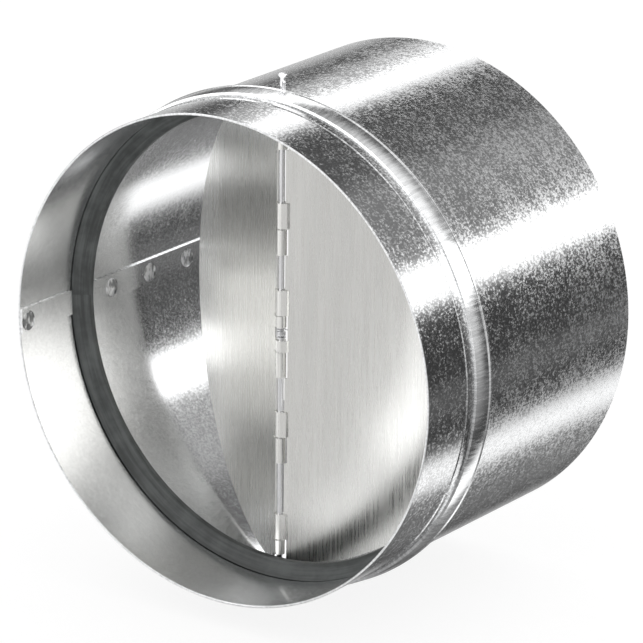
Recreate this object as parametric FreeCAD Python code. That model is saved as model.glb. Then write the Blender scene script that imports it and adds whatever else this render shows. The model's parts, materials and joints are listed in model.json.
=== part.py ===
"""Backdraft damper for a round duct: two sprung half-disc blades on a spindle in a beaded sheet tube.

Lengths are millimetres. The origin is the centre of the inlet rim, air flows along +Y, the spindle is
upright along Z, and the left blade is the one at -X. Both blades are modelled at the angle in which the
damper rests, part open.
"""
import FreeCAD
import Part
import math
import os

# Tube
TUBE_OUTER_DIAMETER = 124.0
TUBE_LENGTH = 88.0
SHEET = 0.6

# Rolled bead: a crease, a sloping front flank, a crowned crest, a steep rear flank and a faint taper behind
BEAD_START = 16.1
BEAD_FRONT_FLANK = 2.5
BEAD_CREST_WIDTH = 5.9
BEAD_REAR_FLANK = 0.8
BEAD_HEIGHT = 1.25
BEAD_CROWN = 0.35
BEAD_CROWN_RUN = 1.8
BEAD_SHOULDER_CHAMFER = 0.4
CREASE_HEIGHT = 0.12
CREASE_WIDTH = 0.5
RUNOUT_HEIGHT = 0.05
RUNOUT_BEHIND_SPINDLE = 1.9

# Lap joint on the left side, flush outside, and its spot welds, squeezed from both faces
LAP_TOP = 1.5
LAP_WIDTH = 7.0
WELD_DIAMETER = 5.0
WELD_DEPTH = 0.12
WELD_FIRST = 2.6
WELD_BEHIND_BEAD = 11.0
WELD_PITCH = 15.9

# Rubber seal ring, seated in the bead's hollow, with its lip just ahead of the shut blades
SEAL_BEHIND_CREST_START = 2.2
SEAL_OVERLAP = 2.9
SEAL_LIP_SETBACK = 2.6
SEAL_LIP_CHAMFER = 0.5
SEAL_BASE_SETBACK = 0.9
SEAL_BASE_AHEAD = 1.3
SEAL_CLEARANCE = 0.1
SEAL_BLADE_GAP = 0.3

# Spindle, and the fishtail pressed on each of its ends
SPINDLE_DIAMETER = 1.5
SPINDLE_BEHIND_BEAD = 0.8
SPINDLE_HOLE_CLEARANCE = 0.1
SPINDLE_STAND_OUT = 5.3
STAKE_LENGTH = 2.4
STAKE_WIDTH = 2.3
STAKE_THICKNESS = 0.9
STAKE_CORNER = 0.25

# Blades
BLADE_RIM_CLEARANCE = 0.3
BLADE_THICKNESS = 0.5
BLADE_EDGE_GAP = 0.2
REST_ANGLE = 34.5

# Knuckles rolled round the spindle, each blade's beside the other's
KNUCKLE_CLEARANCE = 0.1
KNUCKLE_STEP = 0.4
KNUCKLE_STEP_RUN = 0.8
KNUCKLE_ROOT_RUN = 0.85
KNUCKLE_LENGTH = 6.5
KNUCKLE_PITCH = 27.0
KNUCKLE_GROUPS = 5
KNUCKLE_MIDDLE = 0.7
KNUCKLE_SIDE_GAP = 0.15
KNUCKLE_SEAL_GAP = 0.4
KNUCKLE_END_ANGLE = 25.0
KNUCKLE_RELIEF = 0.3
MIDDLE_GAP = 1.7
SHORT_KNUCKLE_LENGTH = 3.1

# Torsion spring between the two middle knuckles
WIRE_DIAMETER = 0.35
WIRE_SIDE_COUNT = 6
COIL_CLEARANCE = 0.17
COIL_TURNS = 3
COIL_TURN_GAP = 0.03
COIL_END_GAP = 0.06
ARM_LENGTH = 19.0
ARM_BEND_RADIUS = 0.6
ARM_TIP_BEND = 1.2
ARM_BLADE_GAP = 0.1
END_TURN_ANGLE = 300.0

# Worked out from the sizes above
TUBE_RADIUS = TUBE_OUTER_DIAMETER / 2
BORE_RADIUS = TUBE_RADIUS - SHEET
BEAD_CREST_START = BEAD_START + BEAD_FRONT_FLANK
BEAD_CREST_END = BEAD_CREST_START + BEAD_CREST_WIDTH
BEAD_END = BEAD_CREST_END + BEAD_REAR_FLANK
LAP_BOTTOM = LAP_TOP - LAP_WIDTH
LAP_FACE_RADIUS = BORE_RADIUS - SHEET
SPINDLE_RADIUS = SPINDLE_DIAMETER / 2
SPINDLE_SETBACK = BEAD_END + SPINDLE_BEHIND_BEAD
KNUCKLE_INNER = SPINDLE_RADIUS + KNUCKLE_CLEARANCE
KNUCKLE_OUTER = KNUCKLE_INNER + BLADE_THICKNESS
KNUCKLE_ROOT = KNUCKLE_OUTER + KNUCKLE_ROOT_RUN
WINDOW_EDGE = KNUCKLE_OUTER + KNUCKLE_RELIEF
MIDDLE_KNUCKLE_START = MIDDLE_GAP + SHORT_KNUCKLE_LENGTH
BLADE_RADIUS = LAP_FACE_RADIUS - BLADE_RIM_CLEARANCE
BLADE_FRONT_OFFSET = KNUCKLE_OUTER - KNUCKLE_STEP
BLADE_BACK_OFFSET = BLADE_FRONT_OFFSET - BLADE_THICKNESS
BLADE_EDGE = SPINDLE_RADIUS + BLADE_EDGE_GAP
SEAL_BACK = SPINDLE_SETBACK - BLADE_FRONT_OFFSET - SEAL_BLADE_GAP
COIL_RADIUS = SPINDLE_RADIUS + COIL_CLEARANCE + WIRE_DIAMETER / 2
COIL_PITCH = WIRE_DIAMETER + COIL_TURN_GAP

Y_AXIS = FreeCAD.Vector(0, 1, 0)
Z_AXIS = FreeCAD.Vector(0, 0, 1)
ORIGIN = FreeCAD.Vector(0, 0, 0)
SPINDLE_MIDDLE = FreeCAD.Vector(0, SPINDLE_SETBACK, 0)


def sheet_outline(base_radius, shift):
    """One face of the sheet in a lengthways cut, shifted outwards from the mid-line."""
    front_slope = math.atan2(BEAD_HEIGHT, BEAD_FRONT_FLANK)
    rear_slope = math.atan2(BEAD_HEIGHT, BEAD_REAR_FLANK)
    front_move = shift * math.tan(front_slope / 2)
    rear_move = shift * math.tan(rear_slope / 2)
    low = base_radius + shift
    high = low + BEAD_HEIGHT
    crest_start = BEAD_CREST_START - front_move
    crest_end = BEAD_CREST_END + rear_move
    crest_rear = FreeCAD.Vector(high, crest_end, 0)
    crown_rear = FreeCAD.Vector(high + BEAD_CROWN, crest_end - BEAD_CROWN_RUN, 0)
    foot = FreeCAD.Vector(low + RUNOUT_HEIGHT, BEAD_END + rear_move, 0)
    shoulder = [crest_rear]
    if shift > 0:
        shoulder = [
            crest_rear + (crown_rear - crest_rear).normalize() * BEAD_SHOULDER_CHAMFER,
            crest_rear + (foot - crest_rear).normalize() * BEAD_SHOULDER_CHAMFER,
        ]
    return [
        FreeCAD.Vector(low, 0, 0),
        FreeCAD.Vector(low, BEAD_START - front_move, 0),
        FreeCAD.Vector(high, crest_start, 0),
        FreeCAD.Vector(high + BEAD_CROWN, crest_start + BEAD_CROWN_RUN, 0),
        crown_rear,
        *shoulder,
        foot,
        FreeCAD.Vector(low, SPINDLE_SETBACK + RUNOUT_BEHIND_SPINDLE, 0),
        FreeCAD.Vector(low, TUBE_LENGTH, 0),
    ]


def sheet_section(inner, outer):
    """Face between two surfaces of the sheet, given as distances outwards from its mid-line."""
    middle = TUBE_RADIUS - SHEET / 2
    outline = sheet_outline(middle, outer) + sheet_outline(middle, inner)[::-1]
    return Part.Face(Part.makePolygon(outline + outline[:1]))


def lap_angle(height):
    """Angle about the tube's axis, in degrees from +X, of a line on the left wall at this height."""
    return 180.0 - math.degrees(math.asin(height / BORE_RADIUS))


def revolved(face, start, sweep):
    """The face turned about the tube's axis, from an angle above +X and onwards by sweep."""
    placed = face.copy()
    placed.rotate(ORIGIN, Y_AXIS, -start)
    return placed.revolve(ORIGIN, Y_AXIS, -sweep)


def lap_layers():
    """The overlapping sheet of the lap: its outer and inner layers, as one band."""
    band = sheet_section(-1.5 * SHEET, SHEET / 2)
    start = lap_angle(LAP_TOP)
    return revolved(band, start, lap_angle(LAP_BOTTOM) - start)


def weld_pits():
    """Shallow round marks that the welding tips leave in both faces of the lap."""
    angle = math.radians(lap_angle((LAP_TOP + LAP_BOTTOM) / 2))
    outwards = FreeCAD.Vector(math.cos(angle), 0, math.sin(angle))
    inner_floor = LAP_FACE_RADIUS + WELD_DEPTH
    outer_floor = TUBE_RADIUS - WELD_DEPTH
    setbacks = [WELD_FIRST]
    setback = BEAD_END + WELD_BEHIND_BEAD
    while setback + WELD_DIAMETER / 2 < TUBE_LENGTH:
        setbacks.append(setback)
        setback += WELD_PITCH
    pits = []
    for setback in setbacks:
        for floor, heading in ((inner_floor, outwards * -1), (outer_floor, outwards)):
            start = outwards * floor + Y_AXIS * setback
            pits.append(Part.makeCylinder(WELD_DIAMETER / 2, WELD_DIAMETER, start, heading))
    return pits


def crease():
    """Fine ridge that the bead's rolls leave on the outside, at the foot of its front flank."""
    half = CREASE_WIDTH / 2
    low = TUBE_RADIUS - SHEET / 2
    high = TUBE_RADIUS + CREASE_HEIGHT
    corners = [
        FreeCAD.Vector(low, BEAD_START - half, 0),
        FreeCAD.Vector(TUBE_RADIUS, BEAD_START - half, 0),
        FreeCAD.Vector(high, BEAD_START, 0),
        FreeCAD.Vector(TUBE_RADIUS, BEAD_START + half, 0),
        FreeCAD.Vector(low, BEAD_START + half, 0),
    ]
    face = Part.Face(Part.makePolygon(corners + corners[:1]))
    return face.revolve(ORIGIN, Y_AXIS, 360)


def spindle_holes():
    """Drill right through both walls for the spindle."""
    reach = TUBE_RADIUS + SPINDLE_STAND_OUT
    start = SPINDLE_MIDDLE - Z_AXIS * reach
    return Part.makeCylinder(SPINDLE_RADIUS + SPINDLE_HOLE_CLEARANCE, 2 * reach, start, Z_AXIS)


def make_housing():
    """Sheet tube with its bead, crease, lap joint, spot welds and the spindle's two holes."""
    tube = sheet_section(-SHEET / 2, SHEET / 2).revolve(ORIGIN, Y_AXIS, 360)
    tube = tube.fuse([lap_layers(), crease()])
    return tube.cut(weld_pits() + [spindle_holes()]).removeSplitter()


def make_seal():
    """Rubber ring whose base fills the bead's hollow and whose lip leans in and back to the blades."""
    lip_radius = BLADE_RADIUS - SEAL_OVERLAP
    front = BEAD_CREST_START + SEAL_BEHIND_CREST_START
    base = BORE_RADIUS + BEAD_HEIGHT - SEAL_CLEARANCE
    base_front = front - SEAL_BASE_SETBACK
    base_back = BEAD_CREST_END - SEAL_BASE_AHEAD
    lip_front = front + SEAL_LIP_SETBACK
    lean = (BORE_RADIUS - lip_radius) / SEAL_LIP_SETBACK
    outline = [
        FreeCAD.Vector(base, base_front, 0),
        FreeCAD.Vector(BORE_RADIUS, front, 0),
        FreeCAD.Vector(lip_radius + SEAL_LIP_CHAMFER, lip_front - SEAL_LIP_CHAMFER / lean, 0),
        FreeCAD.Vector(lip_radius, lip_front + SEAL_LIP_CHAMFER, 0),
        FreeCAD.Vector(lip_radius, SEAL_BACK, 0),
        FreeCAD.Vector(BORE_RADIUS - SEAL_CLEARANCE, SEAL_BACK, 0),
        FreeCAD.Vector(base, base_back, 0),
    ]
    face = Part.Face(Part.makePolygon(outline + outline[:1]))
    ring = face.revolve(ORIGIN, Y_AXIS, 360)
    band = sheet_section(-1.5 * SHEET - SEAL_CLEARANCE, SHEET / 2)
    margin = math.degrees(SEAL_CLEARANCE / BORE_RADIUS)
    start = lap_angle(LAP_TOP) - margin
    end = lap_angle(LAP_BOTTOM) + margin
    return ring.cut(revolved(band, start, end - start)).removeSplitter()


def stake(side):
    """Flattened fishtail on one end of the spindle; side is 1 for the top and -1 for the bottom."""
    tip = TUBE_RADIUS + SPINDLE_STAND_OUT
    neck = tip - STAKE_LENGTH - STAKE_WIDTH / 2
    half_neck = STAKE_THICKNESS / 2
    half_tip = STAKE_WIDTH / 2
    shoulder = tip - STAKE_THICKNESS
    outline = [
        FreeCAD.Vector(-half_neck, 0, side * neck),
        FreeCAD.Vector(half_neck, 0, side * neck),
        FreeCAD.Vector(half_tip, 0, side * shoulder),
        FreeCAD.Vector(half_tip - STAKE_CORNER, 0, side * (tip - STAKE_CORNER)),
        FreeCAD.Vector(0, 0, side * tip),
        FreeCAD.Vector(STAKE_CORNER - half_tip, 0, side * (tip - STAKE_CORNER)),
        FreeCAD.Vector(-half_tip, 0, side * shoulder),
    ]
    face = Part.Face(Part.makePolygon(outline + outline[:1]))
    face.translate(SPINDLE_MIDDLE - Y_AXIS * STAKE_THICKNESS / 2)
    return face.extrude(Y_AXIS * STAKE_THICKNESS)


def make_spindle():
    """Round rod through both holes in the tube, with a staked end beyond each."""
    half = TUBE_RADIUS + SPINDLE_STAND_OUT - STAKE_LENGTH
    rod = Part.makeCylinder(SPINDLE_RADIUS, 2 * half, SPINDLE_MIDDLE - Z_AXIS * half, Z_AXIS)
    ends = []
    for side in (1, -1):
        start = SPINDLE_MIDDLE + Z_AXIS * side * half
        taper = STAKE_WIDTH / 2 - STAKE_THICKNESS / 2
        ends.append(Part.makeCone(SPINDLE_RADIUS, STAKE_THICKNESS / 2, taper, start, Z_AXIS * side))
        ends.append(stake(side))
    return rod.fuse(ends).removeSplitter()


def knuckle_spans(middle):
    """Lowest and highest point of each knuckle of the right blade, for a pattern with this middle."""
    half_groups = KNUCKLE_GROUPS // 2
    spans = [
        (MIDDLE_KNUCKLE_START, MIDDLE_KNUCKLE_START + KNUCKLE_LENGTH),
        (KNUCKLE_SIDE_GAP - MIDDLE_KNUCKLE_START, -MIDDLE_GAP),
    ]
    for group in range(-half_groups, half_groups + 1):
        if group != 0:
            low = group * KNUCKLE_PITCH + KNUCKLE_SIDE_GAP
            spans.append((low, low + KNUCKLE_LENGTH))
    return [(middle + low, middle + high) for low, high in spans]


def slab(x_range, y_range, z_range):
    """Box between the given limits."""
    corner = FreeCAD.Vector(x_range[0], y_range[0], z_range[0])
    sizes = [high - low for low, high in (x_range, y_range, z_range)]
    return Part.makeBox(*sizes, corner)


def knuckle_section():
    """Cut through a knuckle about the spindle's axis: the curl, and the tab that joins it to the blade."""
    front = math.radians(270.0)
    end = math.radians(KNUCKLE_END_ANGLE)

    def at(radius, angle):
        return FreeCAD.Vector(radius * math.cos(angle), radius * math.sin(angle), 0)

    edges = []
    for radius, offset in ((KNUCKLE_OUTER, BLADE_FRONT_OFFSET), (KNUCKLE_INNER, BLADE_BACK_OFFSET)):
        bend = FreeCAD.Vector(KNUCKLE_ROOT - KNUCKLE_STEP_RUN, -radius, 0)
        root = FreeCAD.Vector(KNUCKLE_ROOT, -offset, 0)
        edges.append(Part.Arc(at(radius, end), at(radius, (end + front) / 2), at(radius, front)).toShape())
        edges.append(Part.LineSegment(at(radius, front), bend).toShape())
        edges.append(Part.LineSegment(bend, root).toShape())
    edges.append(Part.LineSegment(at(KNUCKLE_OUTER, end), at(KNUCKLE_INNER, end)).toShape())
    outer_root = FreeCAD.Vector(KNUCKLE_ROOT, -BLADE_FRONT_OFFSET, 0)
    inner_root = FreeCAD.Vector(KNUCKLE_ROOT, -BLADE_BACK_OFFSET, 0)
    edges.append(Part.LineSegment(outer_root, inner_root).toShape())
    return Part.Face(Part.Wire(Part.__sortEdges__(edges)))


def make_closed_blade(middle):
    """A blade as it stands when shut on the right, about the spindle's axis, its knuckles about middle."""
    disc_start = FreeCAD.Vector(0, -BLADE_FRONT_OFFSET, 0)
    disc = Part.makeCylinder(BLADE_RADIUS, BLADE_THICKNESS, disc_start, Y_AXIS)
    reach = 2 * BLADE_RADIUS
    through = (-reach, reach)
    cuts = [slab((-reach, BLADE_EDGE), through, through)]
    opening = (middle - MIDDLE_KNUCKLE_START, middle + MIDDLE_KNUCKLE_START)
    cuts.append(slab((-reach, WINDOW_EDGE), through, opening))
    spans = knuckle_spans(middle)
    for low, high in spans:
        cuts.append(slab((-reach, KNUCKLE_ROOT), through, (low, high)))
        across = (2 * middle - high - KNUCKLE_SIDE_GAP, 2 * middle - low + KNUCKLE_SIDE_GAP)
        cuts.append(slab((-reach, WINDOW_EDGE), through, across))
    section = knuckle_section()
    rim = BLADE_RADIUS - SEAL_OVERLAP - KNUCKLE_SEAL_GAP
    knuckles = []
    for low, high in spans:
        bottom = max(low, -rim)
        knuckle = section.extrude(Z_AXIS * (min(high, rim) - bottom))
        knuckle.translate(Z_AXIS * bottom)
        knuckles.append(knuckle)
    return disc.cut(cuts).fuse(knuckles).removeSplitter()


def placed_right(shape):
    """A shape made for the shut right blade, turned to the rest angle and set on the spindle."""
    placed = shape.copy()
    placed.rotate(ORIGIN, Z_AXIS, REST_ANGLE)
    placed.translate(SPINDLE_MIDDLE)
    return placed


def placed_left(shape):
    """The same shape turned over for the left blade, then turned to the rest angle on the spindle."""
    placed = shape.copy()
    placed.rotate(ORIGIN, Y_AXIS, 180)
    placed.rotate(ORIGIN, Z_AXIS, -REST_ANGLE)
    placed.translate(SPINDLE_MIDDLE)
    return placed


def wire_along(path, frenet):
    """Spring wire along a path of tangent edges, its round section drawn with a few flats."""
    first = path.Edges[0]
    start = first.valueAt(first.FirstParameter)
    heading = first.tangentAt(first.FirstParameter)
    section = Part.makeCircle(WIRE_DIAMETER / 2, start, heading).discretize(WIRE_SIDE_COUNT + 1)
    return path.makePipeShell([Part.makePolygon(section)], True, frenet)


def make_coil():
    """Standing turns of the spring round the spindle, about the middle of the knuckles."""
    height = COIL_TURNS * COIL_PITCH
    coil = wire_along(Part.makeHelix(COIL_PITCH, height, COIL_RADIUS), True)
    coil.translate(SPINDLE_MIDDLE + Z_AXIS * (KNUCKLE_MIDDLE - height / 2))
    return coil


def make_closed_arm(middle):
    """Upper arm of the spring with its end turn, as it lies behind the shut right blade."""
    level = middle + (COIL_TURNS * COIL_PITCH + WIRE_DIAMETER) / 2 + COIL_END_GAP + WIRE_DIAMETER / 2
    line = -BLADE_BACK_OFFSET + ARM_BLADE_GAP + WIRE_DIAMETER / 2
    bend_back = line + ARM_BEND_RADIUS
    bend_out = math.sqrt((COIL_RADIUS + ARM_BEND_RADIUS) ** 2 - bend_back ** 2)
    leave = math.atan2(bend_back, bend_out)

    def arc(centre, radius, start, end):
        """Arc at the arm's level, between two angles about a centre."""
        points = []
        for angle in (start, (start + end) / 2, end):
            points.append(centre + FreeCAD.Vector(math.cos(angle), math.sin(angle), 0) * radius)
        return Part.Arc(*points).toShape()

    turn = arc(FreeCAD.Vector(0, 0, level), COIL_RADIUS, leave + math.radians(END_TURN_ANGLE), leave)
    front = 1.5 * math.pi
    bend = arc(FreeCAD.Vector(bend_out, bend_back, level), ARM_BEND_RADIUS, leave + math.pi, front)
    tip_start = FreeCAD.Vector(ARM_LENGTH - ARM_TIP_BEND, line, level)
    run = Part.LineSegment(FreeCAD.Vector(bend_out, line, level), tip_start).toShape()
    tip = arc(tip_start + Y_AXIS * ARM_TIP_BEND, ARM_TIP_BEND, front, 2 * math.pi)
    return wire_along(Part.Wire([turn, bend, run, tip]), False)


def main():
    pieces = {
        "housing": make_housing(),
        "seal_ring": make_seal(),
        "spindle": make_spindle(),
        "left_blade": placed_left(make_closed_blade(-KNUCKLE_MIDDLE)),
        "right_blade": placed_right(make_closed_blade(KNUCKLE_MIDDLE)),
        "spring_coil": make_coil(),
        "spring_left_arm": placed_left(make_closed_arm(-KNUCKLE_MIDDLE)),
        "spring_right_arm": placed_right(make_closed_arm(KNUCKLE_MIDDLE)),
    }
    os.makedirs("parts", exist_ok=True)
    for name, shape in pieces.items():
        print(name, "solids", len(shape.Solids), "valid", shape.isValid(), "volume", round(shape.Volume, 2))
        shape.Solids[0].exportStep("parts/" + name + ".step")


main()
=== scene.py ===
"""Backdraft damper: the finish of every piece, modelled round the fixed frame of its solids.

Lengths are metres. The inlet rim's centre is the origin, air flows along +Y and the spindle stands along Z.
"""

import json
import math

import bmesh
import bpy
from bpy.props import FloatProperty, FloatVectorProperty, PointerProperty
from mathutils import Matrix, Vector


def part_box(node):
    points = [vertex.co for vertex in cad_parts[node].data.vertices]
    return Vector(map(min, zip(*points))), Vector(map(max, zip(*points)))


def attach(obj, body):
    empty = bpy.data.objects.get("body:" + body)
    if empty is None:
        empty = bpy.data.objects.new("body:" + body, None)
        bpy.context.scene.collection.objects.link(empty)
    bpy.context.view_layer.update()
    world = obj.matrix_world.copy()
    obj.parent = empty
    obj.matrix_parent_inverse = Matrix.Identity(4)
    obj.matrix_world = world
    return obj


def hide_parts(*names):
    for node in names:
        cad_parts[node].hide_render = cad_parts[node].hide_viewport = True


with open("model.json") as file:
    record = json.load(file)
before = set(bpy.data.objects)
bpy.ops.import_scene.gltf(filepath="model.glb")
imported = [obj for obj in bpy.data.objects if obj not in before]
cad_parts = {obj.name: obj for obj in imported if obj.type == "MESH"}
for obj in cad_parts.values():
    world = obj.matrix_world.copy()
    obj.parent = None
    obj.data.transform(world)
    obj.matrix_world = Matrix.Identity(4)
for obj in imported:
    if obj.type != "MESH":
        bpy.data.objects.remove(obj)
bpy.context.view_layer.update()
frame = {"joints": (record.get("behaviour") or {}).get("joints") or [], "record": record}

bl_info = {
    "name": "Backdraft damper",
    "version": (1, 0, 0),
    "blender": (4, 5, 0),
    "location": "3D View > Sidebar > Damper",
    "description": "Models and finishes a sheet-metal backdraft damper and its studio",
    "category": "Object",
}

MM = 0.001
ORIGIN = Vector((0, 0, 0))
Y_AXIS = Vector((0, 1, 0))
Z_AXIS = Vector((0, 0, 1))

# What the solids and the record say
RECORD = frame["record"]
MOUNTS = {mount["name"]: mount for mount in RECORD["mounts"]}
JOINTS = {joint["name"]: joint for joint in frame["joints"]}
TUBE_RADIUS = MOUNTS["inlet_spigot"]["dims"]["r_mm"] * MM
TUBE_LENGTH = MOUNTS["outlet_spigot"]["pos_m"][1]
BEAD_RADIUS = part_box("housing")[1].x
SPINDLE_SETBACK = JOINTS["right_flap_hinge"]["pos_m"][1]
SPINDLE_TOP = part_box("spindle")[1].z
REST_ANGLE = -math.radians(JOINTS["right_flap_hinge"]["range_deg"][0])
SEAL_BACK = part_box("seal_ring")[1].y

# Modelling: steps of arcs, distances between points, and angles in degrees from which edges stay crisp,
# get a bevel and stop counting as flat
TUBE_STEPS = 352
ROD_STEPS = 48
BEND_STEPS = 6
EDGE_STEPS = 2
MERGE_DISTANCE = MM / 1000
LEAST_STEP = MM / 100
SMOOTH_ANGLE = 30.0
EDGE_ANGLE = 40.0
FLAT_ANGLE = 0.5

# Rolled bead, by setback from the inlet rim and height above the tube: a fine crease, a gentle flank, a small
# step, a convex crest, a dip and a rear rim. The bore stays straight up to the hollow for the seal.
BEAD_START = 16.1 * MM
CREASE_HEIGHT = 0.17 * MM
CREASE_WIDTH = 0.4 * MM
STEP_SETBACK = 18.7 * MM
STEP_FOOT = 0.3 * MM
STEP_TOP = 0.92 * MM
STEP_RUN = 0.14 * MM
CREST_MIDDLE_SETBACK = 21.1 * MM
CREST_MIDDLE = 1.27 * MM
CREST_END_SETBACK = 23.4 * MM
CREST_END = 1.42 * MM
CREST_STEPS = 10
DIP_SETBACK = 23.62 * MM
DIP = 1.3 * MM
RIM_SETBACK = 23.9 * MM
REAR_EDGE_SETBACK = 24.4 * MM
REAR_EDGE_ROUND = 0.15 * MM
BEAD_END = 25.3 * MM
BEAD_FOOT_ROUND = 0.35 * MM
BEAD_INNER_ROUND = 0.4 * MM
HOLLOW_START = 20.2 * MM
RIM_ROUND = 0.13 * MM

# Lap joint and its spot welds
LAP_TOP = 1.5 * MM
LAP_WIDTH = 7.0 * MM
LAP_STEPS = 14
LAP_FACING = 0.3
WELD_DIAMETER = 5.0 * MM
WELD_DEPTH = 0.18 * MM
WELD_FIRST = 2.6 * MM
WELD_SECOND = 36.3 * MM
WELD_PITCH = 15.9 * MM

# Seal ring: its base in the bead's hollow and its lip
SEAL_FRONT = 20.8 * MM
SEAL_BASE_SETBACK = 0.9 * MM
SEAL_BASE_HEIGHT = 0.9 * MM
SEAL_LIP_REACH = 3.8 * MM
SEAL_LIP_SETBACK = 2.6 * MM
SEAL_LIP_ROUND = 0.5 * MM
SEAL_EDGE = 0.15 * MM
SEAL_SMOOTH_ANGLE = 40.0

# Fishtail pressed on each end of the spindle
STAKE_LENGTH = 2.4 * MM
STAKE_NECK = 0.9 * MM
STAKE_WIDTH = 2.3 * MM
STAKE_THICKNESS = 0.9 * MM
STAKE_CORNER = 0.25 * MM
STAKE_EDGE = 0.12 * MM

# Blades and their knuckles
BLADE_RIM_CLEARANCE = 0.3 * MM
BLADE_EDGE_GAP = 0.2 * MM
BLADE_EDGE_ROUND = 0.07 * MM
BLADE_STEPS = 180
SEAL_OVERLAP = 2.9 * MM
KNUCKLE_CLEARANCE = 0.1 * MM
KNUCKLE_STEP = 0.4 * MM
KNUCKLE_STEP_RUN = 0.8 * MM
KNUCKLE_ROOT_RUN = 0.85 * MM
KNUCKLE_BEND = 0.25 * MM
KNUCKLE_BEND_STEPS = 3
KNUCKLE_LENGTH = 6.5 * MM
KNUCKLE_PITCH = 27.0 * MM
KNUCKLE_GROUPS = 5
KNUCKLE_MIDDLE = 0.7 * MM
KNUCKLE_SIDE_GAP = 0.15 * MM
KNUCKLE_SEAL_GAP = 0.4 * MM
KNUCKLE_END_ANGLE = 25.0
KNUCKLE_RELIEF = 0.3 * MM
MIDDLE_GAP = 1.7 * MM
SHORT_KNUCKLE_LENGTH = 3.1 * MM
CURL_STEPS = 24

# Torsion spring
COIL_CLEARANCE = 0.17 * MM
COIL_TURNS = 3
COIL_TURN_GAP = 0.03 * MM
COIL_END_GAP = 0.06 * MM
COIL_STEPS = 40
ARM_LENGTH = 19.0 * MM
ARM_BEND_RADIUS = 0.6 * MM
ARM_BEND_STEPS = 10
ARM_TIP_BEND = 1.2 * MM
ARM_TIP_STEPS = 12
ARM_BLADE_GAP = 0.1 * MM
END_TURN_ANGLE = 300.0
WIRE_ROUNDNESS = 4

# Noise on the tube and its ring: scale to the metre, detail, roughness and stretch round, along and outwards
FINE_FLECKS = (1600, 1.6, 0.6, (1.1, 0.85, 0.4))
STREAKS = (620, 2.0, 0.6, (0.7, 1.3, 1.0))
SHEET_CLOUDS = (95, 3.0, 0.6, (0.4, 1.0, 1.0))
ROLL_MARKS = (1700, 2.0, 0.6, (1.0, 0.12, 0.2))
ROLL_CLOUDS = (120, 2.0, 0.5, (1.0, 1.0, 1.0))
WELD_PATCHES = (700, 3.0, 0.6, (0.5, 1.0, 1.0))
EDGE_DRAG = (1800, 2.0, 0.5, (1.0, 1.0, 0.15))
RUBBER_DRAG = (700, 3.0, 0.6, (0.05, 1.0, 1.0))
RUBBER_DUST = (160, 3.0, 0.6, (1.0, 1.0, 1.0))
# The same on satin and drawn metal, with the stretch along X, Y and Z
METAL_GRAIN = (2600, 3.0, 0.6, (1.0, 1.0, 0.03))
METAL_BANDS = (260, 2.0, 0.5, (1.0, 1.0, 0.06))
WIRE_GRAIN = (2600, 3.0, 0.6, (1.0, 1.0, 1.0))
# Share of the finer noise where two are blended, the clouds' share in the sheet's tone, and the tone's middle
FLECK_SHARE = 0.72
MARK_SHARE = 0.6
CLOUD_SHARE = 0.17
MIDDLE_TONE = 0.5
# How far the flecks show outside and in the bore, and the darkest of them as shares of the zinc's reflection;
# the bore's darkest share is above 1, so the bore is painted lighter than the same sheet outside: painted light
OUTSIDE_FLECKS = 1.0
BORE_FLECKS = 0.42
OUTSIDE_DARKEST = 0.7
BORE_DARKEST_PAINTED_LIGHT = 1.05
# Depth of the relief
GRAIN_DEPTH = 0.006 * MM
MARK_DEPTH = 0.01 * MM
RUBBER_DEPTH = 0.04 * MM
WELD_CRINKLE = 0.6 * MM
# How rough the satin and drawn metals are, and how far their grain takes that down and up
SATIN_ROUGHNESS = 0.28
ROD_ROUGHNESS = 0.22
WIRE_ROUGHNESS = 0.25
GRAIN_BELOW = 0.04
GRAIN_ABOVE = 0.05

# Camera of the photograph, in the frame's metres
PHOTO_WIDTH = 643
FOCAL_PIXELS = 4868.6
SENSOR_WIDTH = 36.0
CAMERA_PLACE = (0.6673, -0.8940, 0.3806)
CAMERA_AZIMUTH = 35.45
CAMERA_ELEVATION = 18.34
CAMERA_ROLL = 0.54
CAMERA_CLIP = (0.05, 20.0)

# Studio: long soft panels parallel to the tube, by their angle about its axis from +X towards +Z,
# with half their width, the width of their soft edge and their level
PANELS = (
    ("low strip", -66, 5, 7, 1.6),
    ("low glow", -30, 3, 7, 0.12),
    ("under fill", -85, 10, 30, 0.2),
    ("key strip", 25, 6, 6, 2.5),
    ("key fill", 50, 10, 28, 0.33),
    ("top fill", 88, 8, 20, 0.08),
    ("top strip", 131, 4, 6, 2.4),
    ("top tail", 145, 4, 12, 0.65),
    ("left fill", 204, 12, 24, 0.8),
)
# A glow that only the bead's crest meets, and the share of +Y in a direction where it ends and is full
CREST_GLOW = (("crest glow", 45, 20, 70, 1.0),)
CREST_GLOW_END = 0.73
CREST_GLOW_FULL = 0.58
# Round lights, by direction, with half their width, their soft edge and their level
LIGHTS = (
    ("end light", (0, 1, 0), 10, 10, 1.1),
    ("front left", (-0.5, -0.84, 0.16), 13, 18, 1.5),
    ("front middle", (0.05, -0.98, 0.1), 12, 20, 1.25),
    ("front high", (-0.2, -0.78, 0.58), 12, 22, 0.5),
)
# The front of the studio: its level, the shades in it, and the share of +Y where it starts and is full
FRONT_LEVEL = 0.85
FRONT_SHADES = (
    ("upper shade", 35, 20, 28, -0.6),
    ("lower shade", -92, 12, 30, -0.5),
)
FRONT_START = -0.35
FRONT_FULL = -0.7
# Level of the rest of the room in shiny pieces, and of the light on matt ones
ROOM_LEVEL = 0.075
DIFFUSE_LEVEL = 0.75
WHITE = (1, 1, 1, 1)
FLOOR_BELOW = 1.5 * MM
FLOOR_SIZE = 8.0
FLOOR_GREY = (0.3, 0.3, 0.3, 1)
FLOOR_GLOW = 0.81


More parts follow.
